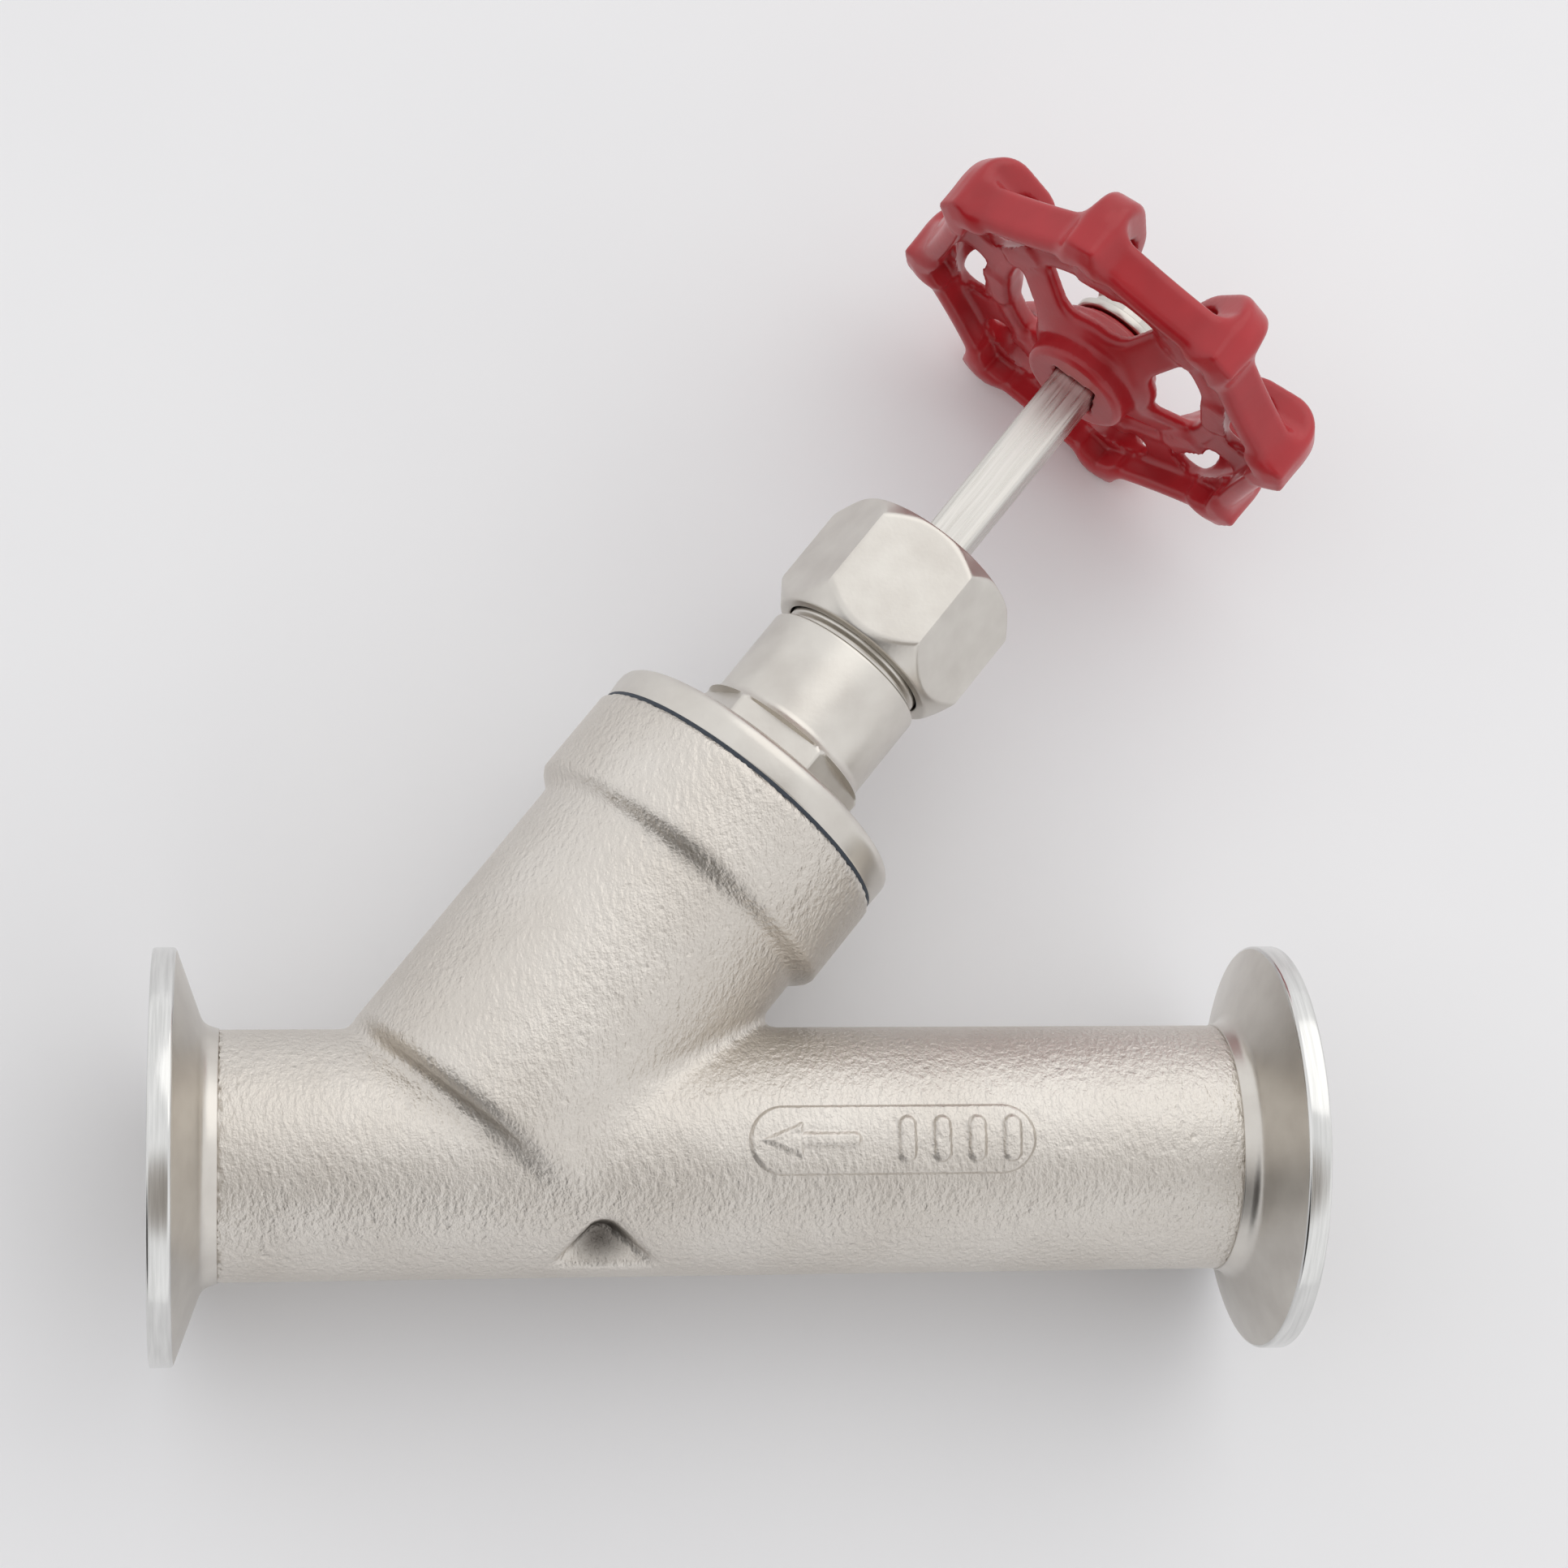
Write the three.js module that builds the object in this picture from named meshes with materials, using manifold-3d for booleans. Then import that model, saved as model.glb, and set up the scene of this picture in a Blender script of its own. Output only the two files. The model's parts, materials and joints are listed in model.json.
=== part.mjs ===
// Y-pattern globe valve, DN25 class: cast stainless body with clamp ferrules,
// screwed bonnet, gland-packed rising stem and an eight-lobed handwheel.
//
// Millimetres, +Z up. The valve lies on a bench: the run of the pipe is along X with the inlet
// at +X, the bonnet leans towards +X and +Y, and both ferrule rims and one wheel ear touch Z = 0.
import * as THREE from 'three';
import { mergeVertices } from 'three/addons/utils/BufferGeometryUtils.js';
import Module from 'manifold-3d';

const wasm = await Module();
wasm.setup();

// ---- driving dimensions -------------------------------------------------------------------
const STEM_ANGLE = THREE.MathUtils.degToRad(50.5); // between the run and the stem
const BENCH_TILT = THREE.MathUtils.degToRad(2.35); // lean that rests rims and wheel together
const FIT_GAP = 0.3; // between seated pieces

const OUTLET_FACE_X = -36; // face to face 140, as clamp-ended valves of this size
const INLET_FACE_X = 104;
const PIPE_R = 15.25;
const BORE_R = 11.75;
const FERRULE_LENGTH = 8;
const FERRULE_RIM_R = 25.25; // 50.5 clamp ferrule

const NECK_R = 19.5;
const COLLAR_R = 21.5;
const NECK_FOOT_T = 4.4; // stations along the stem are measured from the run's axis
const COLLAR_FOOT_T = 42;
const COLLAR_TOP_T = 56;
const CHAMBER_R = 15.5;
const BONNET_THREAD_R = 16.5;

const SEAT_R = 10.5;
const SEAT_LIP_T = 4.5;
const PARTITION_LOW_T = -1.5;
const PARTITION_TOP_T = 2.5;

const FLANGE_T = 57.2;
const FLANGE_TOP_T = 61.2;
const BONNET_R = 11;
const BONNET_AF = 21;
const BONNET_SHOULDER_T = 79.4;
const BONNET_TOP_T = 90;
const GLAND_THREAD_R = 9.8;
const PACKING_R = 7;
const PACKING_FLOOR_T = 72;
const STEM_THREAD_R = 6;
const STEM_R = 4.5;
const STEM_STOP_T = 70;

const NUT_AF = 24;
const NUT_FOOT_T = 81;
const NUT_TOP_T = 98.2;
const NUT_CEILING_T = 92.5;

const SQUARE_AF = 6; // square of the stem, which drives the wheel
const HUB_FOOT_T = 128.4;
const WHEEL_FOOT_T = 132;
const HUB_TOP_T = 137.5;
const STEM_END_T = 146;

const LIFT = 11; // travel from this open position down to the seat
const SEAL_FOOT_T = SEAT_LIP_T + FIT_GAP + LIFT;

const LOBES = 8;
const WHEEL_TURN = THREE.MathUtils.degToRad(25.6); // direction of the first point and first spoke
const WHEEL_VALLEY_R = 26.4;
const WHEEL_POINT_R = 29.4;
const RIM_WALL = 3;
const WEB_FOOT_T = WHEEL_FOOT_T + 2.6; // the web closes the rim from here up
const WEB_TOP_T = WHEEL_FOOT_T + 4.9;
const RING_INNER_R = 16;
const RING_OUTER_R = 18.2;
const SPOKES = 4;
const SPOKE_HALF = 3.2;
const EAR_INNER_R = 16.3;
const EAR_OUTER_R = 30.4;
const EAR_TOP_T = WHEEL_FOOT_T + 11.4;
const EAR_ROUND = 5.2;
const EAR_HALF = 2.4;
const HUB_R = 8.3;
const HUB_SHOULDER_R = 9.2;
const POCKET_R = 3.2;
const POCKET_MIDDLE_R = 21.5;
const POCKET_T = WHEEL_FOOT_T + 4.4;
const POCKET_HALF = 6;

const ROUND = 40; // facets round the large pieces
const SMALL_ROUND = 24; // facets round the small ones

// ---- materials ----------------------------------------------------------------------------
const finish = (color, roughness, metalness) =>
  new THREE.MeshStandardMaterial({ color, roughness, metalness });

const castSteel = finish(0xb9b4ab, 0.5, 0.9);
const turnedSteel = finish(0xc3bfb6, 0.32, 0.95);
const polishedSteel = finish(0xc9c8c6, 0.18, 1.0);
const redEnamel = finish(0xb3202a, 0.25, 0.1);
const sealWhite = finish(0xe9e6df, 0.55, 0.0);
const graphite = finish(0x2c3238, 0.7, 0.1);

// ---- the two axes -------------------------------------------------------------------------
// On a stem axis, local Z runs outwards along the stem and local Y is up; on the run, local Z is X.
const acrossStem = new THREE.Vector3(-Math.sin(STEM_ANGLE), Math.cos(STEM_ANGLE), 0);
const alongStem = new THREE.Vector3(Math.cos(STEM_ANGLE), Math.sin(STEM_ANGLE), 0);
const up = new THREE.Vector3(0, 0, 1);
const stemFrame = new THREE.Matrix4().makeBasis(acrossStem, up, alongStem);
const runFrame = new THREE.Matrix4().makeBasis(
  new THREE.Vector3(0, 1, 0),
  up,
  new THREE.Vector3(1, 0, 0),
);

// ---- shape helpers ------------------------------------------------------------------------
const v2 = (x, y) => new THREE.Vector2(x, y);

// Points on an arc, for the rounded corners of a turned profile.
function arc(cx, cy, r, fromDeg, toDeg, steps = 4) {
  return Array.from({ length: steps + 1 }, (_, i) => {
    const a = THREE.MathUtils.degToRad(fromDeg + ((toDeg - fromDeg) * i) / steps);
    return v2(cx + r * Math.cos(a), cy + r * Math.sin(a));
  });
}

// A piece turned about local Z from points (radius, station).
function turned(points, facets = ROUND) {
  const geometry = new THREE.LatheGeometry(points, facets);
  geometry.rotateX(Math.PI / 2);
  return solid(geometry);
}

// A turned ring with a rectangular section.
function ring(inner, outer, from, to, facets = SMALL_ROUND) {
  return turned(
    [v2(inner, from), v2(outer, from), v2(outer, to), v2(inner, to), v2(inner, from)],
    facets,
  );
}

// A turned plug, closed on the axis.
function plug(radius, from, to, facets = SMALL_ROUND) {
  return turned([v2(0, from), v2(radius, from), v2(radius, to), v2(0, to)], facets);
}

// A shape in local XY, extruded from one station to another; its far end is scaled by taper.
function prism(shape, from, to, curveSegments = 8, taper = 1) {
  const geometry = new THREE.ExtrudeGeometry(shape, {
    depth: to - from,
    bevelEnabled: false,
    curveSegments,
  });
  geometry.translate(0, 0, from);
  const { position } = geometry.attributes;
  for (let i = 0; i < position.count; i += 1) {
    const scale = position.getZ(i) > (from + to) / 2 ? taper : 1;
    position.setXY(i, position.getX(i) * scale, position.getY(i) * scale);
  }
  return solid(geometry);
}

// A regular polygon given by its width across flats and the direction of one corner.
function polygon(sides, acrossFlats, cornerDeg) {
  const r = acrossFlats / 2 / Math.cos(Math.PI / sides);
  const corners = Array.from({ length: sides }, (_, i) => {
    const a = THREE.MathUtils.degToRad(cornerDeg) + (2 * Math.PI * i) / sides;
    return v2(r * Math.cos(a), r * Math.sin(a));
  });
  return new THREE.Shape(corners);
}

// Signed volume of an indexed geometry: negative when its faces point inwards.
function signedVolume(position, index) {
  const [a, b, c] = [new THREE.Vector3(), new THREE.Vector3(), new THREE.Vector3()];
  let volume = 0;
  for (let i = 0; i < index.length; i += 3) {
    a.fromBufferAttribute(position, index[i]);
    b.fromBufferAttribute(position, index[i + 1]);
    c.fromBufferAttribute(position, index[i + 2]);
    volume += a.dot(b.cross(c)) / 6;
  }
  return volume;
}

// A closed three.js geometry as a manifold solid, turned right side out where it needs it.
function solid(geometry) {
  geometry.deleteAttribute('normal');
  geometry.deleteAttribute('uv');
  const merged = mergeVertices(geometry, 1e-4);
  const index = Uint32Array.from(merged.index.array);
  if (signedVolume(merged.attributes.position, index) < 0) index.reverse();
  const mesh = new wasm.Mesh({
    numProp: 3,
    vertProperties: Float32Array.from(merged.attributes.position.array),
    triVerts: index,
  });
  return new wasm.Manifold(mesh);
}

const placed = (manifold, matrix) => manifold.transform(matrix.elements);
const union = (first, ...rest) => rest.reduce((sum, piece) => sum.add(piece), first);
const cut = (first, ...rest) => rest.reduce((left, piece) => left.subtract(piece), first);

// Adds one finished piece to a group as a named mesh.
function piece(group, name, manifold, material) {
  const { vertProperties, triVerts, numProp } = manifold.getMesh();
  const geometry = new THREE.BufferGeometry();
  const position = new Float32Array((vertProperties.length / numProp) * 3);
  for (let i = 0; i < position.length; i += 1) {
    position[i] = vertProperties[Math.floor(i / 3) * numProp + (i % 3)];
  }
  geometry.setAttribute('position', new THREE.BufferAttribute(position, 3));
  geometry.setIndex(Array.from(triVerts));
  geometry.computeVertexNormals();
  const mesh = new THREE.Mesh(geometry, material);
  mesh.name = name;
  group.add(mesh);
}

// ---- valve body ---------------------------------------------------------------------------
// One casting: the run, the neck that swallows it, and a collar for the bonnet thread.
function bodyOutside() {
  const from = OUTLET_FACE_X + FERRULE_LENGTH;
  const to = INLET_FACE_X - FERRULE_LENGTH - FIT_GAP;
  const run = turned([
    v2(0, from), v2(PIPE_R - 0.3, from), v2(PIPE_R, from + 0.3),
    v2(PIPE_R, to - 0.3), v2(PIPE_R - 0.3, to), v2(0, to),
  ]);
  const neck = turned([
    v2(0, NECK_FOOT_T),
    ...arc(NECK_R - 1.2, NECK_FOOT_T + 1.2, 1.2, -90, 0, 3),
    v2(NECK_R, COLLAR_FOOT_T),
    v2(NECK_R + 0.6, COLLAR_FOOT_T + 0.9),
    ...arc(COLLAR_R - 1, COLLAR_FOOT_T + 3.2, 1, -60, 0, 2),
    v2(COLLAR_R, COLLAR_TOP_T - 0.5),
    v2(COLLAR_R - 0.5, COLLAR_TOP_T),
    v2(0, COLLAR_TOP_T),
  ]);
  return union(placed(run, runFrame), placed(neck, stemFrame), flowMark());
}

// A capsule-shaped pad on the run's upper side with a raised arrow along the flow, to -X.
const MARK_X = 52.8;
const MARK_Y = 0.6;
const MARK_LENGTH = 35.5;
const MARK_WIDTH = 8;
const MARK_HEIGHT = 0.45;

function flowMark() {
  const half = MARK_LENGTH / 2 - MARK_WIDTH / 2;
  const capsule = new THREE.Shape();
  capsule.absarc(MARK_X + half, MARK_Y, MARK_WIDTH / 2, -Math.PI / 2, Math.PI / 2);
  capsule.absarc(MARK_X - half, MARK_Y, MARK_WIDTH / 2, Math.PI / 2, (3 * Math.PI) / 2);
  const arrow = new THREE.Shape([
    v2(-16.8, 0), v2(-12, 1.9), v2(-12, 0.6), v2(-5, 0.6), v2(-5, -0.6), v2(-12, -0.6), v2(-12, -1.9),
  ].map((p) => p.add(v2(MARK_X, MARK_Y))));
  const shell = (radius) => placed(plug(radius, 20, 90, ROUND), runFrame);
  const pad = prism(capsule, 8, 20, 10).intersect(shell(PIPE_R + MARK_HEIGHT));
  const sign = prism(arrow, 8, 20).intersect(shell(PIPE_R + 2 * MARK_HEIGHT));
  return pad.add(sign);
}

// The waterways: outlet bore under the partition, inlet bore and neck chamber above it.
function bodyInside() {
  const slab = 2 * (INLET_FACE_X - OUTLET_FACE_X);
  const halfSpace = (from, to) =>
    placed(solid(new THREE.BoxGeometry(slab, slab, to - from).translate(0, 0, (from + to) / 2)), stemFrame);
  const bore = placed(plug(BORE_R, OUTLET_FACE_X, INLET_FACE_X, 32), runFrame);
  const outlet = bore.intersect(halfSpace(-100, PARTITION_LOW_T));
  const inlet = bore.intersect(halfSpace(PARTITION_TOP_T, 120));
  const seatHole = plug(SEAT_R, -6, PARTITION_TOP_T + 1, 32);
  const chamber = turned([
    v2(0, PARTITION_TOP_T), v2(SEAT_R + 2.7, PARTITION_TOP_T), v2(SEAT_R + 2.7, SEAT_LIP_T),
    v2(CHAMBER_R, 8), v2(CHAMBER_R, 46), v2(BONNET_THREAD_R + FIT_GAP, 46),
    v2(BONNET_THREAD_R + FIT_GAP, COLLAR_TOP_T + 1), v2(0, COLLAR_TOP_T + 1),
  ], 32);
  return union(outlet, inlet, placed(seatHole, stemFrame), placed(chamber, stemFrame));
}

// Triangular relief under the partition, on both sides of the run, with its own wall behind it.
const RELIEF_X = 17.6;
const RELIEF_APEX_Y = -9.2;
const RELIEF_FLOOR_Z = 5.5;
const RELIEF_WALL = 2.5;

function relief(grow) {
  const foot = RELIEF_APEX_Y - 8;
  const corner = 1.3 + grow;
  const shape = new THREE.Shape();
  shape.moveTo(RELIEF_X - 8 - grow, foot - grow);
  shape.lineTo(RELIEF_X + 8.8 + grow, foot - grow);
  shape.absarc(RELIEF_X, RELIEF_APEX_Y - 1.3, corner, Math.PI * 0.27, Math.PI * 0.75, false);
  shape.closePath();
  const upper = prism(shape, RELIEF_FLOOR_Z - grow, PIPE_R + 3, 5);
  return upper.add(upper.mirror([0, 0, 1]));
}

function valveBody() {
  const lip = ring(SEAT_R, SEAT_R + 1.8, PARTITION_TOP_T - 0.5, SEAT_LIP_T, 32);
  const core = placed(plug(PIPE_R - 0.2, 0, 40), runFrame);
  const reliefWall = relief(RELIEF_WALL).intersect(core);
  const walls = union(cut(bodyOutside(), bodyInside()), placed(lip, stemFrame), reliefWall);
  return cut(walls, relief(0));
}

// ---- ferrules -----------------------------------------------------------------------------
// Clamp ferrule turned about local Z, face at zero: gasket groove, rim, 20 degree cone, weld stub.
function ferrule() {
  const grooveR = 21.8;
  const stubR = PIPE_R + 0.3;
  return turned([
    v2(BORE_R, 0),
    ...arc(grooveR, -0.2, 1.6, 173, 7, 3).map((p) => v2(p.x, Math.max(p.y, 0))),
    v2(FERRULE_RIM_R - 0.3, 0), v2(FERRULE_RIM_R, 0.3), v2(FERRULE_RIM_R, 2.4), v2(FERRULE_RIM_R - 0.4, 2.8),
    v2(stubR + 0.9, 5.9),
    ...arc(stubR + 1.1, 7, 1.1, -110, -180, 2),
    v2(stubR, FERRULE_LENGTH - 0.4), v2(PIPE_R, FERRULE_LENGTH - FIT_GAP), v2(BORE_R, FERRULE_LENGTH - FIT_GAP),
    v2(BORE_R, 0),
  ]);
}

// ---- bonnet and gland ---------------------------------------------------------------------
function bonnet() {
  const hex = prism(polygon(6, BONNET_AF, 50.5), FLANGE_TOP_T - 1, 67)
    .intersect(turned([
      v2(0, FLANGE_TOP_T - 1), v2(13, FLANGE_TOP_T - 1), v2(13, 65), v2(BONNET_R, 67), v2(0, 67),
    ]));
  const barrel = turned([
    v2(0, 47.5), v2(BONNET_THREAD_R - 0.6, 47.5), v2(BONNET_THREAD_R, 48.1),
    v2(BONNET_THREAD_R, FLANGE_T), v2(COLLAR_R - 0.5, FLANGE_T), v2(COLLAR_R - 0.2, FLANGE_T + 0.3),
    ...arc(COLLAR_R - 1.8, FLANGE_TOP_T - 1.6, 1.6, 0, 90, 3),
    v2(BONNET_AF / 2 - 0.2, FLANGE_TOP_T), v2(BONNET_AF / 2 - 0.2, 66), v2(BONNET_R, 66),
    v2(BONNET_R, BONNET_SHOULDER_T - 0.5), v2(BONNET_R - 0.5, BONNET_SHOULDER_T),
    v2(GLAND_THREAD_R - 0.6, BONNET_SHOULDER_T), v2(GLAND_THREAD_R - 0.6, 80.2),
    v2(GLAND_THREAD_R, 80.6), v2(GLAND_THREAD_R, BONNET_TOP_T - 0.6),
    v2(GLAND_THREAD_R - 0.6, BONNET_TOP_T), v2(0, BONNET_TOP_T),
  ]);
  const passage = turned([
    v2(0, 47), v2(STEM_THREAD_R + FIT_GAP, 47), v2(STEM_THREAD_R + FIT_GAP, STEM_STOP_T),
    v2(STEM_R + FIT_GAP, STEM_STOP_T), v2(STEM_R + FIT_GAP, PACKING_FLOOR_T),
    v2(PACKING_R, PACKING_FLOOR_T), v2(PACKING_R, 91), v2(0, 91),
  ], SMALL_ROUND);
  return cut(barrel.add(hex), passage);
}

function glandNut() {
  const corners = turned([
    v2(0, NUT_FOOT_T), v2(11, NUT_FOOT_T), v2(14, NUT_FOOT_T + 3.9), v2(14, NUT_TOP_T - 3.2),
    v2(11.8, NUT_TOP_T), v2(0, NUT_TOP_T),
  ]);
  const inside = turned([
    v2(0, NUT_FOOT_T - 1), v2(GLAND_THREAD_R + FIT_GAP, NUT_FOOT_T - 1),
    v2(GLAND_THREAD_R + FIT_GAP, NUT_CEILING_T), v2(STEM_R + 0.5, NUT_CEILING_T),
    v2(STEM_R + 0.5, NUT_TOP_T - 0.5), v2(STEM_R + 1.2, NUT_TOP_T + 0.2), v2(0, NUT_TOP_T + 0.2),
  ], SMALL_ROUND);
  return cut(prism(polygon(6, NUT_AF, 52.4), NUT_FOOT_T, NUT_TOP_T).intersect(corners), inside);
}

// Pushes the packing down: a sleeve with a flange under the gland nut's ceiling.
function glandFollower() {
  const inner = STEM_R + FIT_GAP;
  return turned([
    v2(inner, 84.2), v2(PACKING_R - FIT_GAP, 84.2), v2(PACKING_R - FIT_GAP, BONNET_TOP_T + FIT_GAP),
    v2(9.4, BONNET_TOP_T + FIT_GAP), v2(9.4, NUT_CEILING_T - FIT_GAP), v2(inner, NUT_CEILING_T - FIT_GAP),
    v2(inner, 84.2),
  ], SMALL_ROUND);
}

// One packing ring of V section, nested by its neighbours.
function packingRing(foot) {
  const inner = STEM_R + FIT_GAP;
  const outer = PACKING_R - FIT_GAP;
  const middle = (inner + outer) / 2;
  return turned([
    v2(inner, foot), v2(middle, foot + 0.8), v2(outer, foot), v2(outer, foot + 2),
    v2(middle, foot + 2.8), v2(inner, foot + 2), v2(inner, foot),
  ], SMALL_ROUND);
}

// ---- disc assembly ------------------------------------------------------------------------
// Heights here are above the face of the seat seal.
const discT = (height) => SEAL_FOOT_T + height;

function discHolder() {
  const outside = turned([
    v2(0, discT(-8)), v2(3.5, discT(-8)), v2(4, discT(-7.5)), v2(4, discT(4.3)),
    v2(13, discT(4.3)), v2(13.4, discT(4.7)), v2(13.4, discT(8.6)), v2(13, discT(9)), v2(10, discT(9)),
    v2(9, discT(10)), v2(9, discT(18.4)), v2(8.4, discT(19)), v2(0, discT(19)),
  ], 32);
  return cut(outside, plug(7, discT(10.5), discT(20)));
}

const discRetainer = () => ring(4, 6.7, discT(15), discT(18.8));
const seatSeal = () => ring(4.3, SEAT_R + 2.1, discT(0), discT(4));
const sealWasher = () => ring(4.3, SEAT_R - 0.9, discT(-2), discT(-FIT_GAP));
const sealNut = () =>
  cut(prism(polygon(6, 13, 0), discT(-7.2), discT(-2.3)), plug(4.3, discT(-8), discT(-2)));

// ---- stem ---------------------------------------------------------------------------------
function stem() {
  const turnedPart = turned([
    v2(0, discT(10.9)), v2(5.9, discT(10.9)), v2(6.4, discT(11.4)), v2(6.4, discT(14.2)),
    v2(5.9, discT(14.7)), v2(3.6, discT(14.7)), v2(3.6, discT(20)),
    v2(STEM_THREAD_R - 0.8, discT(20)), v2(STEM_THREAD_R, discT(20.8)),
    v2(STEM_THREAD_R, STEM_STOP_T - 1.3), v2(STEM_THREAD_R - 0.8, STEM_STOP_T - 0.5),
    v2(STEM_R, STEM_STOP_T - 0.5), v2(STEM_R, 94), v2(STEM_R - 1, 95.2), v2(0, 95.2),
  ], SMALL_ROUND);
  const square = prism(polygon(4, SQUARE_AF, 35), 93, HUB_TOP_T - 0.5)
    .intersect(plug(3.95, 92, HUB_TOP_T));
  const end = turned([
    v2(0, HUB_TOP_T - 1), v2(2.7, HUB_TOP_T - 1), v2(2.7, STEM_END_T - 0.6),
    v2(2.1, STEM_END_T), v2(0, STEM_END_T),
  ], SMALL_ROUND);
  return union(turnedPart, square, end);
}

// ---- handwheel ----------------------------------------------------------------------------
// Star outline: a concave arc between each two points, and the points cut off flat.
function star(valleyR, pointR) {
  const half = Math.PI / LOBES;
  const reach = (pointR ** 2 - valleyR ** 2) / (2 * (pointR * Math.cos(half) - valleyR));
  const radius = reach - valleyR;
  const sweep = 0.94 * Math.asin((pointR * Math.sin(half)) / radius);
  const shape = new THREE.Shape();
  for (let i = 0; i < LOBES; i += 1) {
    const valley = WHEEL_TURN + half * (2 * i + 1);
    const middle = valley + Math.PI;
    const [x, y] = [reach * Math.cos(valley), reach * Math.sin(valley)];
    shape.absarc(x, y, radius, middle + sweep, middle - sweep, true);
  }
  shape.closePath();
  return shape;
}

// Window between two parallel-sided spokes, from the hub to the ring.
function spokeWindow(turn) {
  const [inner, outer] = [HUB_SHOULDER_R, RING_INNER_R];
  const halfAngle = (radius) => Math.PI / SPOKES - Math.asin(SPOKE_HALF / radius);
  const shape = new THREE.Shape();
  shape.absarc(0, 0, outer, turn - halfAngle(outer), turn + halfAngle(outer), false);
  shape.absarc(0, 0, inner, turn + halfAngle(inner), turn - halfAngle(inner), true);
  shape.closePath();
  return prism(shape, WHEEL_FOOT_T - 1, WEB_TOP_T + 3, 4);
}

// Ear: a slab that stands on its point of the star and runs in to the ring, with rounded shoulders.
function ear(turn) {
  const shoulder = EAR_TOP_T - EAR_ROUND;
  const profile = new THREE.Shape([
    v2(EAR_OUTER_R - RIM_WALL, WHEEL_FOOT_T),
    v2(EAR_OUTER_R, WHEEL_FOOT_T),
    ...arc(EAR_OUTER_R - EAR_ROUND, shoulder, EAR_ROUND, 0, 90, 3),
    ...arc(EAR_INNER_R + EAR_ROUND, shoulder, EAR_ROUND, 90, 180, 3),
    v2(EAR_INNER_R, WEB_FOOT_T),
    v2(EAR_OUTER_R - RIM_WALL, WEB_FOOT_T),
  ]);
  const softened = 0.8;
  const geometry = new THREE.ExtrudeGeometry(profile, {
    depth: 2 * (EAR_HALF - softened),
    bevelThickness: softened,
    bevelSize: softened,
    bevelOffset: -softened,
    bevelSegments: 1,
  });
  geometry.translate(0, 0, softened - EAR_HALF);
  geometry.rotateX(Math.PI / 2);
  geometry.rotateZ(turn);
  return solid(geometry);
}

// Core pocket: it pierces an ear from side to side, and the web on both sides of that ear.
function earPocket(turn) {
  const end = POCKET_R - 0.6;
  const profile = [
    v2(0, -POCKET_HALF), v2(end, -POCKET_HALF), v2(POCKET_R, 0), v2(end, POCKET_HALF), v2(0, POCKET_HALF),
  ];
  const place = new THREE.Matrix4()
    .makeRotationZ(turn)
    .multiply(new THREE.Matrix4().makeTranslation(POCKET_MIDDLE_R, 0, POCKET_T))
    .multiply(new THREE.Matrix4().makeRotationX(Math.PI / 2));
  return placed(turned(profile, 8), place);
}

function handwheel() {
  const around = (count, first, make) =>
    Array.from({ length: count }, (_, i) => make(first + (2 * Math.PI * i) / count));
  const outside = prism(star(WHEEL_VALLEY_R, WHEEL_POINT_R), WHEEL_FOOT_T, WEB_TOP_T, 3, 1.035);
  const hollow = star(WHEEL_VALLEY_R - RIM_WALL, WHEEL_POINT_R - RIM_WALL);
  const dish = cut(
    outside,
    prism(hollow, WHEEL_FOOT_T - 1, WEB_FOOT_T, 3),
    ...around(SPOKES, WHEEL_TURN + Math.PI / SPOKES, spokeWindow),
  );
  const wallRing = ring(RING_INNER_R, RING_OUTER_R, WEB_FOOT_T - 0.4, WEB_TOP_T + 1.4);
  const pierced = cut(
    union(dish, wallRing, ...around(LOBES, WHEEL_TURN, ear)),
    ...around(LOBES, WHEEL_TURN, earPocket),
  );
  const hub = turned([
    v2(0, HUB_FOOT_T), v2(HUB_R - 0.5, HUB_FOOT_T), v2(HUB_R, HUB_FOOT_T + 0.5),
    v2(HUB_SHOULDER_R, WEB_FOOT_T), v2(HUB_SHOULDER_R, WEB_TOP_T), v2(HUB_R, HUB_TOP_T), v2(0, HUB_TOP_T),
  ], SMALL_ROUND);
  const socket = prism(polygon(4, SQUARE_AF + 2 * FIT_GAP, 35), HUB_FOOT_T - 1, HUB_TOP_T + 1);
  return cut(union(pierced, hub), socket);
}

const wheelWasher = () => ring(3, 6.5, HUB_TOP_T + 0.3, HUB_TOP_T + 1.5);

// Split spring washer: a ring with a slanted saw cut.
function springWasher() {
  const slot = new THREE.BoxGeometry(6, 1, 6).rotateX(0.5).translate(5, 0, HUB_TOP_T + 2.4);
  return cut(ring(3, 5.2, HUB_TOP_T + 1.8, HUB_TOP_T + 3), solid(slot));
}

function wheelNut() {
  const foot = HUB_TOP_T + 3.3;
  const top = foot + 4.4;
  const corners = turned([
    v2(0, foot), v2(5, foot), v2(5.8, foot + 0.6), v2(5.8, top - 0.6), v2(5, top), v2(0, top),
  ], SMALL_ROUND);
  return cut(prism(polygon(6, 10, 12), foot, top).intersect(corners), plug(3, foot - 1, top + 1));
}

// ---- assembly -----------------------------------------------------------------------------
const valve = new THREE.Group();
const run = new THREE.Group();
const stemLine = new THREE.Group();
run.quaternion.setFromRotationMatrix(runFrame);
stemLine.quaternion.setFromRotationMatrix(stemFrame);
valve.add(run, stemLine);

piece(valve, 'valve_body', valveBody(), castSteel);
const inletTurn = new THREE.Matrix4().makeRotationX(Math.PI).setPosition(0, 0, INLET_FACE_X);
const outletShift = new THREE.Matrix4().makeTranslation(0, 0, OUTLET_FACE_X);
piece(run, 'outlet_ferrule', placed(ferrule(), outletShift), polishedSteel);
piece(run, 'inlet_ferrule', placed(ferrule(), inletTurn), polishedSteel);

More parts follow.
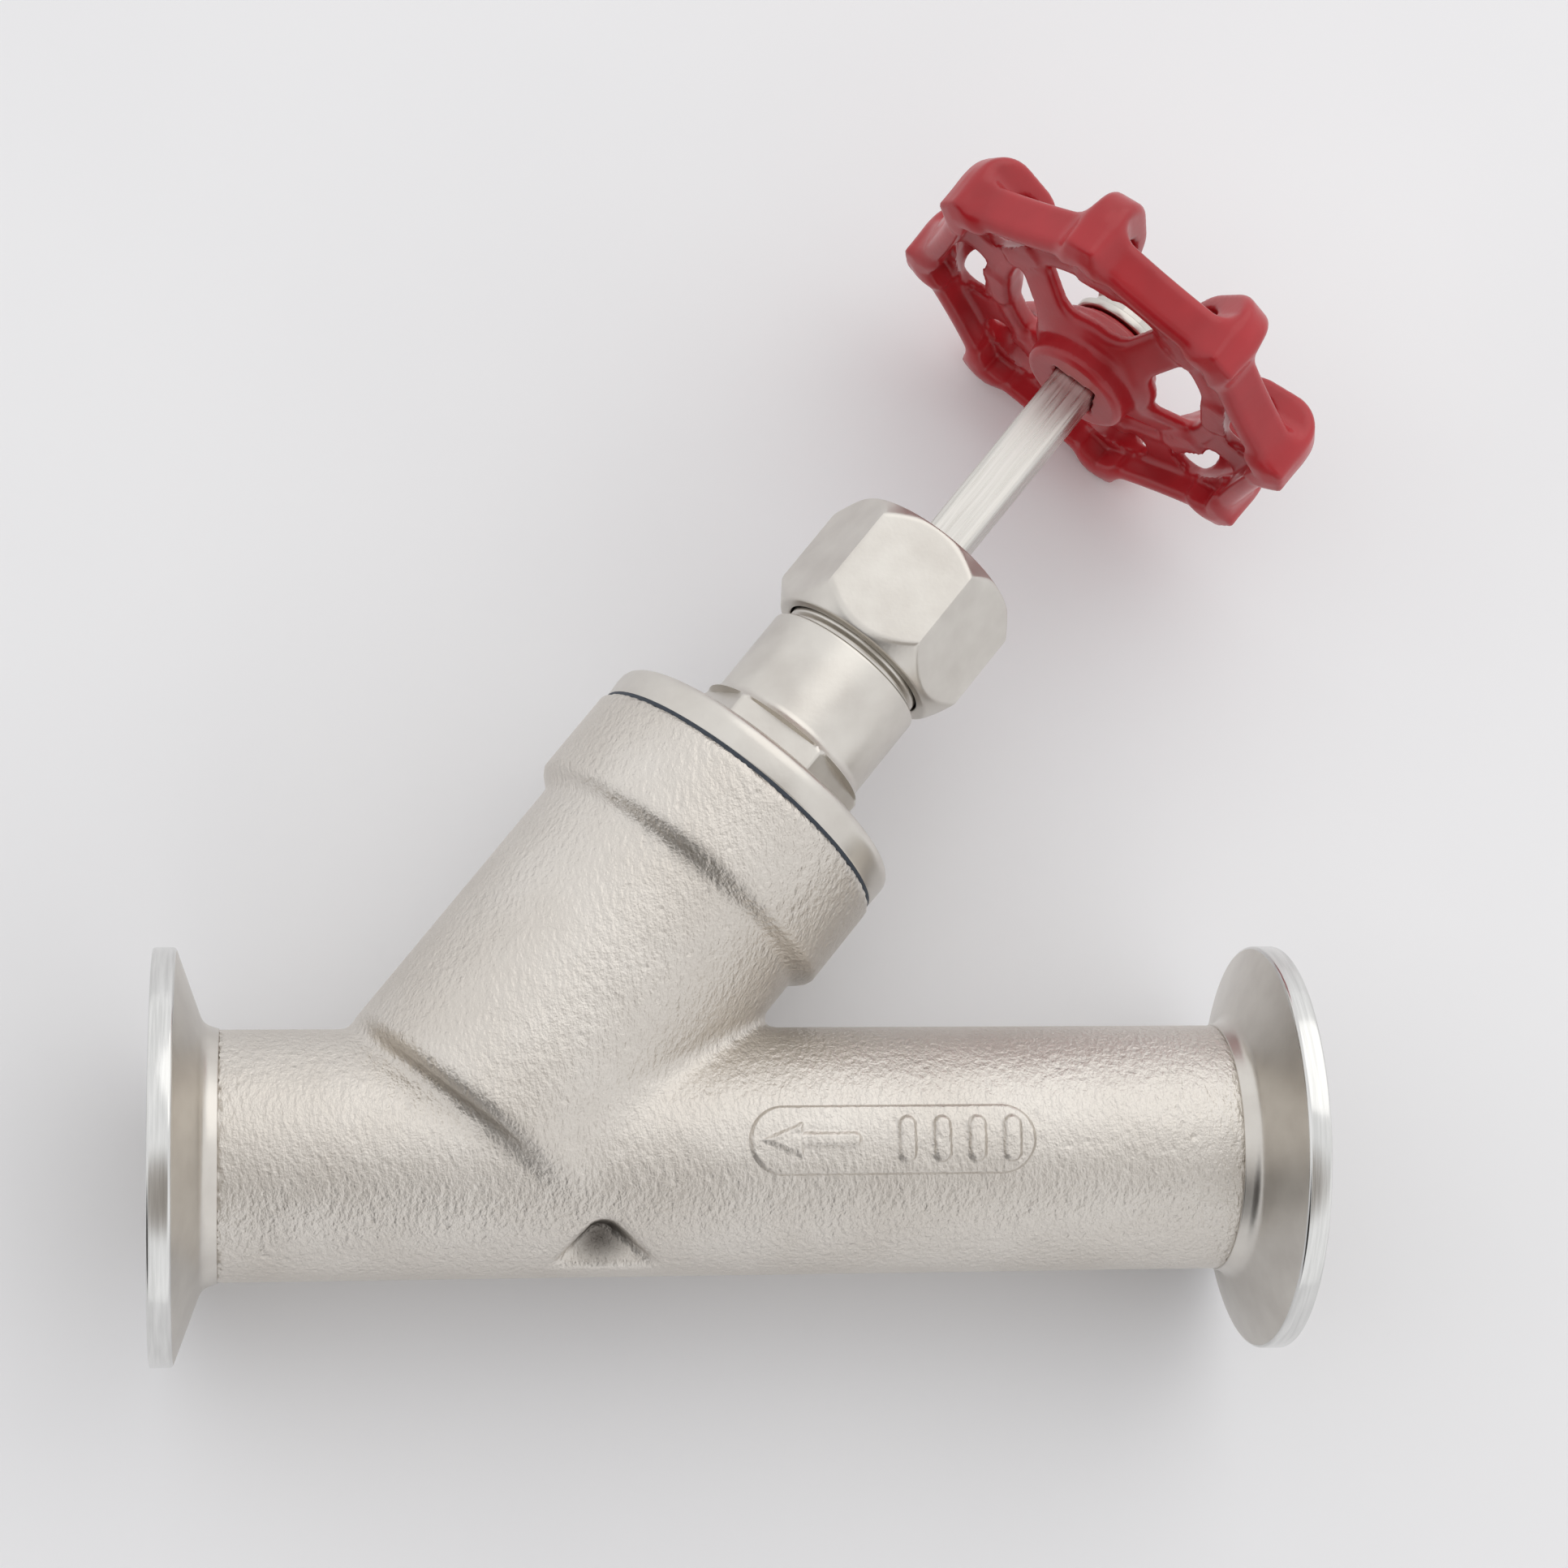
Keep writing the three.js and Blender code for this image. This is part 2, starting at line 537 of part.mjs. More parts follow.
piece(stemLine, 'bonnet', bonnet(), turnedSteel);
const gasketRing = ring(BONNET_THREAD_R + 0.4, COLLAR_R - 0.5, COLLAR_TOP_T + 0.25, FLANGE_T - 0.25, ROUND);
piece(stemLine, 'bonnet_gasket', gasketRing, graphite);
piece(stemLine, 'packing_support_ring', ring(STEM_R + FIT_GAP, PACKING_R - FIT_GAP, 72.3, 74.2), turnedSteel);
for (let i = 0; i < 3; i += 1) {
  piece(stemLine, `packing_ring_${i + 1}`, packingRing(74.5 + 2.9 * i), sealWhite);
}
piece(stemLine, 'gland_follower', glandFollower(), turnedSteel);
piece(stemLine, 'gland_nut', glandNut(), turnedSteel);

piece(stemLine, 'disc_holder', discHolder(), turnedSteel);
piece(stemLine, 'seat_seal', seatSeal(), sealWhite);
piece(stemLine, 'seal_washer', sealWasher(), turnedSteel);
piece(stemLine, 'seal_nut', sealNut(), turnedSteel);
piece(stemLine, 'disc_retainer', discRetainer(), turnedSteel);

piece(stemLine, 'stem', stem(), turnedSteel);
piece(stemLine, 'handwheel', handwheel(), redEnamel);
piece(stemLine, 'wheel_washer', wheelWasher(), turnedSteel);
piece(stemLine, 'spring_washer', springWasher(), turnedSteel);
piece(stemLine, 'wheel_nut', wheelNut(), turnedSteel);

// Lay the valve down: lean it on its wheel, then set the middle of its footprint on the origin.
valve.rotation.x = BENCH_TILT;
const part = new THREE.Group();
part.add(valve);
part.updateMatrixWorld(true);
const box = new THREE.Box3().setFromObject(part, true);
valve.position.set(-(box.min.x + box.max.x) / 2, -(box.min.y + box.max.y) / 2, -box.min.z);

export default part;
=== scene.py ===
"""Manual Y-pattern globe valve with clamp ferrules, gland-packed stem and lobed handwheel.

Lengths below are millimetres on the valve's own axes; they become metres when a mesh is made.
A station is a distance along an axis from the point where the run and the stem cross.
In a solid, x runs along the run, y across it towards the bonnet, and z up off the bench; the
wheel's own solid has z along the stem.
"""
import json

import bmesh
import bpy
import numpy as np
from mathutils import Matrix, Vector


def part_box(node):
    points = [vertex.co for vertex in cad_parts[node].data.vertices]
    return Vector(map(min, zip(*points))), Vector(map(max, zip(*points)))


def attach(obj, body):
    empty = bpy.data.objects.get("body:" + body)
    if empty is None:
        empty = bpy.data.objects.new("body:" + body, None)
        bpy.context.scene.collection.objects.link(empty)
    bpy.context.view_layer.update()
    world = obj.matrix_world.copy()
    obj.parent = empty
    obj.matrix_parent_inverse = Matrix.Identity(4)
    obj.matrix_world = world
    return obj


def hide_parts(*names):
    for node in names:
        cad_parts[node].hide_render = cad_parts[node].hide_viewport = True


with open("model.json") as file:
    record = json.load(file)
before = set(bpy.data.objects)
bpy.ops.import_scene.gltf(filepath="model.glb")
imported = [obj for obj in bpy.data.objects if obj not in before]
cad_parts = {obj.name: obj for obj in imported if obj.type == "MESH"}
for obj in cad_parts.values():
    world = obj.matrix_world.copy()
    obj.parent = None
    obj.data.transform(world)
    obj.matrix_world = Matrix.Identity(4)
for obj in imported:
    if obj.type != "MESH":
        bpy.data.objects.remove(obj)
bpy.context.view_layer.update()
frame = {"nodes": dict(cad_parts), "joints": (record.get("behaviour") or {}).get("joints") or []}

MM = 0.001

# ---- axes of the valve -----------------------------------------------------------------------


class Axis:
    """A line of the valve: local x is across it, y is up off the bench, z is along it."""

    def __init__(self, origin, along, up):
        self.origin = np.asarray(origin, float)
        self.basis = np.stack([np.cross(up, along), up, along])

    def world(self, points):
        """Row-frame metres of local points in millimetres."""
        return (self.origin + np.asarray(points, float) @ self.basis) * MM


def unit(vector):
    """The vector over its own length."""
    return vector / np.linalg.norm(vector)


def valve_axes():
    """The run's and the stem's axes, from the ferrules and from the handwheel's joint."""
    low, high = (np.array(corner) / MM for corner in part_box("inlet_ferrule"))
    on_run = np.array([0, (low[1] + high[1]) / 2, (low[2] + high[2]) / 2])
    joint = next(j for j in frame["joints"] if j["name"] == "handwheel_turn")
    along_run = np.array([1.0, 0.0, 0.0])
    along_stem = unit(np.array(joint["axis"], float))
    on_stem = np.array(joint["pos_m"], float) / MM
    up = unit(np.cross(along_run, along_stem))
    slopes = np.stack([along_run, -along_stem], axis=1)
    reach = np.linalg.lstsq(slopes, on_stem - on_run, rcond=None)[0][0]
    crossing = on_run + reach * along_run
    return Axis(crossing, along_run, up), Axis(crossing, along_stem, up)


run, stem_line = valve_axes()
STEM_COS = float(stem_line.basis[2] @ run.basis[2])
STEM_SIN = float(np.sqrt(1 - STEM_COS**2))
INLET_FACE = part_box("inlet_ferrule")[1].x / MM - run.origin[0]
OUTLET_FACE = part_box("outlet_ferrule")[0].x / MM - run.origin[0]

# ---- camera ----------------------------------------------------------------------------------
LENS = 81.5
CAMERA_PLACE = (-24.5, -37.5, 436.3)  # along the run, across it towards the bonnet, and up
CAMERA_RIGHT = (0.98885, -0.02215, 0.14726)
CAMERA_BACK = (-0.14880, -0.18652, 0.97112)


def valve_space(vector):
    """Row-frame direction of a vector given along the run, towards the bonnet and up."""
    along, bonnet_side, up = vector
    return along * run.basis[2] + bonnet_side * run.basis[0] + up * run.basis[1]


def camera():
    """A long lens nearly straight above the bench, turned a few degrees with the valve."""
    right = unit(valve_space(CAMERA_RIGHT))
    back = unit(valve_space(CAMERA_BACK))
    place = (run.origin + valve_space(CAMERA_PLACE)) * MM
    turn = Matrix(np.stack([right, np.cross(back, right), back], axis=1).tolist())
    data = bpy.data.cameras.new("camera")
    data.lens = LENS
    data.clip_start = 0.01
    eye = bpy.data.objects.new("camera", data)
    bpy.context.scene.collection.objects.link(eye)
    eye.matrix_world = Matrix.Translation(Vector(place)) @ turn.to_4x4()
    bpy.context.scene.camera = eye


camera()

# ---- meshes --------------------------------------------------------------------------------


def mesh_piece(name, points, quads, crease=35):
    """A closed mesh object from row-frame points and quads, smooth but for edges over crease."""
    mesh = bpy.data.meshes.new(name)
    mesh.vertices.add(len(points))
    mesh.vertices.foreach_set("co", points.astype(np.float32).ravel())
    mesh.loops.add(quads.size)
    mesh.loops.foreach_set("vertex_index", quads.astype(np.int32).ravel())
    mesh.polygons.add(len(quads))
    mesh.polygons.foreach_set("loop_start", np.arange(0, quads.size, 4, dtype=np.int32))
    mesh.polygons.foreach_set("loop_total", np.full(len(quads), 4, np.int32))
    mesh.update(calc_edges=True)
    shell = bmesh.new()
    shell.from_mesh(mesh)
    bmesh.ops.remove_doubles(shell, verts=shell.verts, dist=1e-7)
    bmesh.ops.dissolve_degenerate(shell, edges=shell.edges, dist=1e-7)
    if shell.calc_volume(signed=True) < 0:
        bmesh.ops.reverse_faces(shell, faces=shell.faces)
    shell.to_mesh(mesh)
    shell.free()
    mesh.polygons.foreach_set("use_smooth", np.ones(len(mesh.polygons), bool))
    mesh.set_sharp_from_angle(angle=np.radians(crease))
    piece = bpy.data.objects.new(name, mesh)
    bpy.context.scene.collection.objects.link(piece)
    return piece


def grid_quads(rows, columns, wrap_rows):
    """Quads of a grid whose last column meets its first, and whose rows may do the same."""
    index = np.arange(rows * columns).reshape(rows, columns)
    right = np.roll(index, -1, axis=1)
    quads = np.stack([index, right, np.roll(right, -1, axis=0), np.roll(index, -1, axis=0)], axis=-1)
    return (quads if wrap_rows else quads[:-1]).reshape(-1, 4)


def rounded(corners, steps=5):
    """A profile through (radius, station, fillet) corners, each one cut by a parabolic fillet."""
    corners = np.array(corners, float)
    places = corners[:, :2]
    line = [places[:1]]
    share = np.linspace(0, 1, steps + 1)[:, None]
    for before, (here, fillet), after in zip(
        places[:-2], zip(places[1:-1], corners[1:-1, 2]), places[2:]
    ):
        back, ahead = before - here, after - here
        reach = min(fillet, 0.49 * np.linalg.norm(back), 0.49 * np.linalg.norm(ahead))
        start, end = here + reach * unit(back), here + reach * unit(ahead)
        curve = (1 - share) ** 2 * start + 2 * share * (1 - share) * here + share**2 * end
        line.append(curve if reach > 0 else here[None])
    line.append(places[-1:])
    return np.concatenate(line)


def dense(profile, pitch, between=(-np.inf, np.inf)):
    """The same profile, with points no further apart than pitch between the two stations."""
    parts = []
    for a, b in zip(profile[:-1], profile[1:]):
        near = min(a[1], b[1]) <= between[1] and max(a[1], b[1]) >= between[0]
        count = max(1, int(np.ceil(np.linalg.norm(b - a) / pitch))) if near else 1
        parts.append(a + (b - a) * np.linspace(0, 1, count, endpoint=False)[:, None])
    return np.concatenate(parts + [profile[-1:]])


def soft_min(a, b, width):
    """The smaller of a and b, rounded off where they are within width of each other."""
    share = np.clip(0.5 + 0.5 * (b - a) / width, 0, 1)
    return b * (1 - share) + a * share - width * share * (1 - share)


def flats(sides, across, corner):
    """Distance from the axis to a regular polygon's side, as a function of the angle round it."""
    step = 2 * np.pi / sides

    def distance(angle):
        from_middle = (angle - np.radians(corner)) % step - step / 2
        return across / 2 / np.cos(from_middle)

    return distance


def turned(name, axis, profile, columns=160, side=None, between=(0, 0), edge=0.3):
    """A profile turned about an axis: (r cos a, r sin a, station).

    Between two stations the radius stays inside the polygon that side gives, with soft edges.
    """
    angle = np.linspace(0, 2 * np.pi, columns, endpoint=False)[None, :]
    radius, station = profile[:, :1], profile[:, 1:]
    radius = np.repeat(radius, columns, axis=1)
    if side is not None:
        inside = (station >= between[0]) & (station <= between[1])
        radius = np.where(inside, soft_min(radius, side(angle), edge), radius)
        radius = np.maximum(radius, 0)
    local = np.stack(
        [radius * np.cos(angle), radius * np.sin(angle), np.repeat(station, columns, axis=1)], axis=-1
    )
    wrap = bool(np.allclose(profile[0], profile[-1]))
    if wrap:
        local = local[:-1]
    quads = grid_quads(len(local), columns, wrap)
    return mesh_piece(name, axis.world(local.reshape(-1, 3)), quads)


# ---- rounded solids ------------------------------------------------------------------------
# A solid is a function that is negative inside it and close to the distance from its surface.


def join(a, b, fillet):
    """Both solids: the smaller distance, less a quarter circle's fillet where both are small."""
    inner = np.hypot(np.maximum(fillet - a, 0), np.maximum(fillet - b, 0))
    return np.maximum(fillet, np.minimum(a, b)) - inner


def common(a, b, edge):
    """Where both solids are, with their shared edge rounded: join of the two outsides."""
    return -join(-a, -b, edge)


def contour(solid, low, high, pitch):
    """Surface nets: one point in each cell that the surface crosses, one quad per crossed edge.

    The points then move along the field's slope onto the surface.
    """
    ticks = [np.arange(a, b + pitch, pitch) for a, b in zip(low, high)]
    shape = tuple(len(t) for t in ticks)
    value = solid(*np.meshgrid(*ticks, indexing="ij", sparse=True))
    value = np.broadcast_to(value, shape)
    cells = tuple(n - 1 for n in shape)
    total = np.zeros((int(np.prod(cells)), 3))
    count = np.zeros(int(np.prod(cells)))
    quads = []
    for axis in range(3):
        ahead = [slice(None)] * 3
        behind = [slice(None)] * 3
        ahead[axis], behind[axis] = slice(1, None), slice(None, -1)
        first, second = value[tuple(behind)], value[tuple(ahead)]
        crossed = np.stack(np.nonzero((first < 0) != (second < 0)), axis=1)
        others = [a for a in range(3) if a != axis]
        keep = np.all([(crossed[:, a] > 0) & (crossed[:, a] < cells[a]) for a in others], axis=0)
        crossed = crossed[keep]
        a, b = first[tuple(crossed.T)], second[tuple(crossed.T)]
        place = crossed.astype(float)
        place[:, axis] += a / (a - b)
        around = []
        for back_u, back_v in ((0, 0), (1, 0), (1, 1), (0, 1)):
            cell = crossed.copy()
            cell[:, others[0]] -= back_u
            cell[:, others[1]] -= back_v
            flat = np.ravel_multi_index(tuple(cell.T), cells)
            around.append(flat)
            count += np.bincount(flat, minlength=len(count))
            for k in range(3):
                total[:, k] += np.bincount(flat, weights=place[:, k], minlength=len(count))
        ring = np.stack(around, axis=1)
        flip = (a < 0) != (axis == 1)
        ring[flip] = ring[flip][:, ::-1]
        quads.append(ring)
    used = count > 0
    number = np.cumsum(used) - 1
    points = np.array(low) + pitch * total[used] / count[used, None]
    quads = number[np.concatenate(quads)]
    return settle(solid, points, pitch), quads


def settle(solid, points, pitch, rounds=3):
    """Newton steps from each point to the solid's surface, none longer than half a cell."""
    step = 0.02
    for _ in range(rounds):
        here = solid(*points.T)
        slope = np.stack(
            [(solid(*(points + step * side).T) - here) / step for side in np.eye(3)], axis=1
        )
        steep = np.maximum((slope**2).sum(1), 0.25)
        move = -(here / steep)[:, None] * slope
        length = np.linalg.norm(move, axis=1, keepdims=True)
        points = points + move * np.minimum(1, 0.5 * pitch / np.maximum(length, 1e-9))
    return points


# ---- cast body -----------------------------------------------------------------------------
PIPE_R = 15.25
BORE_R = 11.75
NECK_R = 19.5
COLLAR_R = 21.5
FERRULE_LENGTH = 7.7
CAST_START = OUTLET_FACE + FERRULE_LENGTH
CAST_END = INLET_FACE - FERRULE_LENGTH
NECK_FOOT = 4.4
COLLAR_STEP = (42.6, 45.2)
COLLAR_TOP = 56.5
SEAT_R = 10.5
SEAT_HOLE_HALF = 6
LIP_HALF = 0.95
LIP_MIDDLE = 3.2
CHAMBER_R = 15.5
CHAMBER_CONE = (4.5, 8)
THREAD_R = 16.8
THREAD_FOOT = 46
PARTITION = (-1.5, 2.5)
POCKET_APEX = (17.5, -8.1)
POCKET_HALF = 5.5
POCKET_LEFT, POCKET_RIGHT = (0.714, 0.70), (0.632, 0.775)  # across and up each sloping wall
POCKET_SHADE_CENTRE = (17.6, -10.6, 7.5)  # the centre of the painted shade that darkens each of the two relief pockets


def smooth_step(low, high, x):
    """0 below low, 1 above high, and 3t^2 - 2t^3 between them."""
    share = np.clip((x - low) / (high - low), 0, 1)
    return share * share * (3 - 2 * share)


def relief_pocket(x, y, z, grow=0.0):
    """Pocket under the partition: two sloping walls that meet in a rounded apex, and a floor."""
    from_apex, above_apex = x - POCKET_APEX[0], y - POCKET_APEX[1]
    left = above_apex * POCKET_LEFT[1] - from_apex * POCKET_LEFT[0]
    right = above_apex * POCKET_RIGHT[1] + from_apex * POCKET_RIGHT[0]
    walls = common(left, right, 2.2)
    return common(walls, POCKET_HALF - np.abs(z), 1.2) - grow


def cast_body(x, y, z):
    """Run and neck joined by a fillet, less bores, chamber and relief; x along the run."""
    station = x * STEM_COS + y * STEM_SIN
    off_stem = np.hypot(x * STEM_SIN - y * STEM_COS, z)
    off_run = np.hypot(y, z)
    pipe = common(off_run - PIPE_R, np.maximum(x - CAST_END, CAST_START - x), 0.4)
    swell = (COLLAR_R - NECK_R) * smooth_step(*COLLAR_STEP, station)
    neck = common(off_stem - NECK_R - swell, NECK_FOOT - station, 2.0)
    neck = common(neck, station - COLLAR_TOP, 0.7)
    outside = join(pipe, neck, 2.2)
    bore = off_run - BORE_R
    outlet = common(bore, station - PARTITION[0], 0.8)
    inlet = common(bore, PARTITION[1] - station, 0.8)
    seat_hole = np.maximum(off_stem - SEAT_R, np.abs(station) - SEAT_HOLE_HALF)
    cone = off_stem - np.interp(station, CHAMBER_CONE, [SEAT_R + 2.7, CHAMBER_R])
    chamber = common(cone, PARTITION[1] - station, 0.5)
    thread = np.maximum(off_stem - THREAD_R, THREAD_FOOT - station)
    void = np.minimum(np.minimum(outlet, inlet), np.minimum(join(chamber, thread, 0.3), seat_hole))
    lip_wall = np.abs(off_stem - SEAT_R - LIP_HALF) - LIP_HALF
    lip = np.maximum(lip_wall, np.abs(station - LIP_MIDDLE) - 1.3)
    walls = np.minimum(common(outside, -void, 0.45), lip)
    backing = np.maximum(relief_pocket(x, y, z, 2.5), off_run - PIPE_R + 0.2)
    return common(np.minimum(walls, backing), -relief_pocket(x, y, z), 0.6)


def body_casting():
    """The cast body's surface, as the contour of its solid."""
    low = (CAST_START - 1.5, -17.5, -23.1)
    high = (CAST_END + 1.5, 59.0, 23.1)
    points, quads = contour(cast_body, low, high, pitch=0.72)
    local = np.stack([points[:, 1], points[:, 2], points[:, 0]], axis=1)
    return mesh_piece("body_casting", run.world(local), quads, crease=50)


def beside(x, y, length, width):
    """Distance outside a bar with round ends, centred on zero."""
    return np.hypot(np.maximum(np.abs(x) - (length - width) / 2, 0), y) - width / 2


PAD_MIDDLE = 52.4
PAD_TURN = -0.1 / PIPE_R
PAD_HALF_LENGTH = 18.6
PAD_HALF_WIDTH = 5.0
PAD_SUNK = 0.35
BAR_PLACES = (1.6, 5.9, 10.2, 14.5)


def rise(outside, height):
    """A raised patch: its height inside the outline, falling smoothly across it."""
    return height * smooth_step(-0.3, 0.35, -outside)


def flow_pad():
    """Raised capsule with a flow arrow and four plain bars.

    The surface is (r sin a, r cos a, station), where r is the run's radius plus the height.
    """
    x = np.linspace(-PAD_HALF_LENGTH, PAD_HALF_LENGTH, 300)[:, None]
    y = np.linspace(-PAD_HALF_WIDTH, PAD_HALF_WIDTH, 90)[None, :]
    height = rise(beside(x, y, 34.8, 8.2), 0.65)
    shaft = beside(x + 7.9, y, 7.6, 1.5)
    head = np.maximum(np.abs(y) * 0.9 - (x + 15.9) * 0.36, x + 11.2)
    height = height + rise(np.minimum(shaft, head), 0.5)
    for place in BAR_PLACES:
        height = height + rise(beside(y, x - place, 5.2, 2.0), 0.6)
    edge = np.minimum(PAD_HALF_LENGTH - np.abs(x), PAD_HALF_WIDTH - np.abs(y))
    height = np.where(edge < 0.05, -PAD_SUNK, height - 0.06)
    angle = y / PIPE_R + PAD_TURN

    def surface(r):
        along = x + PAD_MIDDLE + 0 * r
        return np.stack([r * np.sin(angle) + 0 * x, r * np.cos(angle) + 0 * x, along], axis=-1)

    top, under = surface(PIPE_R + height), surface(PIPE_R - PAD_SUNK + 0 * height)
    rows, columns = height.shape
    index = np.arange(rows * columns).reshape(rows, columns)
    corners = [index[:-1, :-1], index[1:, :-1], index[1:, 1:], index[:-1, 1:]]
    quads = np.stack(corners, -1).reshape(-1, 4)
    points = np.concatenate([top.reshape(-1, 3), under.reshape(-1, 3)])
    both = np.concatenate([quads, quads[:, ::-1] + rows * columns])
    return mesh_piece("flow_pad", run.world(points), both, crease=80)


# ---- turned pieces ---------------------------------------------------------------------------
FERRULE_RIM_R = 25.25
GROOVE_R = 21.8


def ferrule(name, face, inwards, fillet):
    """Clamp ferrule: groove in its face, rim (made bright afterwards by polish_rim), sloping back,
    fillet, weld stub.
    """
    stub = PIPE_R + 0.12
    profile = rounded(
        [
            (BORE_R, 4, 0), (BORE_R, 0, 0.3), (GROOVE_R - 1.7, 0, 0.2), (GROOVE_R - 0.9, 1.4, 0.9),
            (GROOVE_R + 0.9, 1.4, 0.9), (GROOVE_R + 1.7, 0, 0.2), (FERRULE_RIM_R, 0, 0.35),
            (FERRULE_RIM_R, 2.75, 0.35), (stub + 0.6, 6.1, fillet), (stub, 8.0, 0.15),
            (PIPE_R - 0.3, 8.05, 0.1), (BORE_R, 8.05, 0.1), (BORE_R, 4, 0),
        ]
    )
    profile[:, 1] = face + inwards * profile[:, 1]
    return turned(name, run, profile, columns=256)


def bonnet():
    """Thread skirt, rounded flange, hexagon milled from the barrel, barrel, gland thread."""
    profile = rounded(
        [
            (6.3, 47.5, 0), (15.9, 47.5, 0.3), (16.5, 48.1, 0.3), (16.5, 56.8, 0), (21.1, 56.8, 0.35),
            (21.3, 61.2, 1.9), (12.5, 61.25, 0.3), (12.7, 65.3, 0.8), (11.0, 67.2, 0.6),
            (11.0, 79.4, 0.6), (9.2, 79.4, 0.2), (9.2, 80.2, 0.2), (9.8, 80.7, 0.2), (9.8, 90, 0.5),
            (7.0, 90, 0.2), (7.0, 72, 0.1), (4.8, 72, 0.1), (4.8, 70, 0.1), (6.3, 70, 0.1),
            (6.3, 47.5, 0),
        ]
    )
    side = flats(6, 21.0, 50.5)
    milled = (61.22, 66.2)
    return turned(
        "bonnet_turning", stem_line, dense(profile, 0.3, milled), columns=360, side=side,
        between=milled, edge=0.25,
    )


def gland_nut():
    """Hexagon nut with a cone at each end: the profile's radius, held inside a hexagon's sides."""
    profile = rounded(
        [
            (10.1, 83, 0), (10.1, 81, 0.3), (11.6, 81, 0.35), (14.6, 85.3, 0.4), (14.6, 94.4, 0.4),
            (11.9, 98.2, 0.5), (5.4, 98.2, 0.4), (5.0, 97.6, 0.1), (5.0, 92.5, 0.1), (10.1, 92.5, 0.1),
            (10.1, 83, 0),
        ]
    )
    side = flats(6, 24.0, 52.4)
    return turned(
        "gland_nut_hexagon", stem_line, dense(profile, 0.25), columns=420, side=side,
        between=(81, 98.2), edge=0.35,
    )


def stem_spindle():
    """Stem: button in the disc, threaded part, plain part, square for the wheel, threaded end."""
    profile = rounded(
        [
            (0, 26.7, 0), (6.1, 26.7, 0.4), (6.4, 27.2, 0.2), (6.4, 30, 0.3), (5.9, 30.5, 0.2),
            (3.6, 30.5, 0.2), (3.6, 35.8, 0.2), (5.2, 35.8, 0.2), (6, 36.6, 0.3), (6, 68.7, 0.3),
            (5.2, 69.5, 0.3), (4.5, 69.5, 0.1), (4.5, 94, 0.3), (3.9, 95.2, 0.2), (3.95, 137, 0.2),
            (2.7, 137, 0.1), (2.7, 145.4, 0.3), (2.1, 146, 0.2), (0, 146, 0),
        ]
    )
    side = flats(4, 6.0, 35)
    return turned(
        "stem_spindle", stem_line, dense(profile, 0.6), columns=240, side=side,
        between=(95.19, 137.0), edge=0.35,
    )


def simple_ring(name, inner, outer, start, end, soft=0.25):
    """A rectangle with softened corners, turned about the stem's axis."""
    profile = rounded(
        [
            (inner, (start + end) / 2, 0), (inner, start, soft), (outer, start, soft),
            (outer, end, soft), (inner, end, soft), (inner, (start + end) / 2, 0),
        ],
        steps=3,
    )
    return turned(name, stem_line, profile, columns=96)


def hexagon_nut(name, across, hole, start, end, corner):
    """Chamfered hexagon nut: a coned cylinder's radius, held inside the hexagon's sides."""
    wide = across / 2 / np.cos(np.pi / 6)
    profile = rounded(
        [
            (hole, (start + end) / 2, 0), (hole, start, 0.3), (across / 2 - 0.2, start, 0.2),
            (wide + 0.1, start + 0.75, 0.1), (wide + 0.1, end - 0.75, 0.1),
            (across / 2 - 0.2, end, 0.2), (hole, end, 0.3), (hole, (start + end) / 2, 0),
        ],
        steps=3,
    )
    side = flats(6, across, corner)
    return turned(
        name, stem_line, dense(profile, 0.2), columns=240, side=side, between=(start, end), edge=0.2
    )


SEAL_FOOT = 15.8  # the seal's station with the valve open


def disc_plug():
    """Disc holder: stud, seal backing disc, hollow boss that holds the stem's button."""
    f = SEAL_FOOT
    profile = rounded(
        [
            (0, f - 8, 0), (3.6, f - 8, 0.3), (4, f - 7.5, 0.2), (4, f + 4.3, 0.1),
            (13, f + 4.3, 0.3), (13.4, f + 4.8, 0.3), (13.4, f + 8.6, 0.4), (13, f + 9, 0.3),
            (10, f + 9, 0.8), (9, f + 10, 0.5), (9, f + 18.4, 0.4), (8.4, f + 19, 0.3),
            (7, f + 19, 0.2), (7, f + 10.5, 0.2), (0, f + 10.5, 0),
        ]
    )
    return turned("disc_plug", stem_line, profile, columns=128)


# ---- handwheel -------------------------------------------------------------------------------
WHEEL_FOOT = 132.0
HUB_FOOT = 128.4
LOBES = 8
FIRST_POINT = 25.6
VALLEY_R = 26.4
POINT_R = 29.4
SQUARE_TURN = np.radians(80)
SQUARE_HALF = 3.2
RIM_TOP = 5.6
RIM_WALL = 2.3
RIM_DRAFT = 0.22
WEB_FOOT = 3.6
DISH_R = 16
DISH_SLOPE = 0.42
SPOKES = 4
SPOKE_HALF = 3.1
WINDOW_R = (9.4, 16.0)
RING_R, RING_HALF_WIDTH = 17.1, 1.1
RING_MIDDLE, RING_HALF_HEIGHT = 4.9, 1.5
EAR_MIDDLE_R, EAR_HALF_LENGTH = 23.35, 7.05
EAR_MIDDLE, EAR_HALF_HEIGHT = 2.7, 8.7
EAR_HALF_WIDTH = 2.4
EAR_ROUND = 5.2
HOLE_PLACE_R, HOLE_PLACE = 21.7, 5.4
HOLE_R = 3.2
HOLE_HALF = 6.0
HUB_R, HUB_DROP = 7.4, 3.6
HUB_MIDDLE, HUB_HALF = 0.4, 4.0
BOSS_R, BOSS_MIDDLE, BOSS_HALF = 6.4, 2.0, 3.5


def nearest_turn(angle, count, first):
    """Signed angle to the nearest of count directions, evenly spaced from the first one."""
    step = 2 * np.pi / count
    return (angle - np.radians(first) + step / 2) % step - step / 2


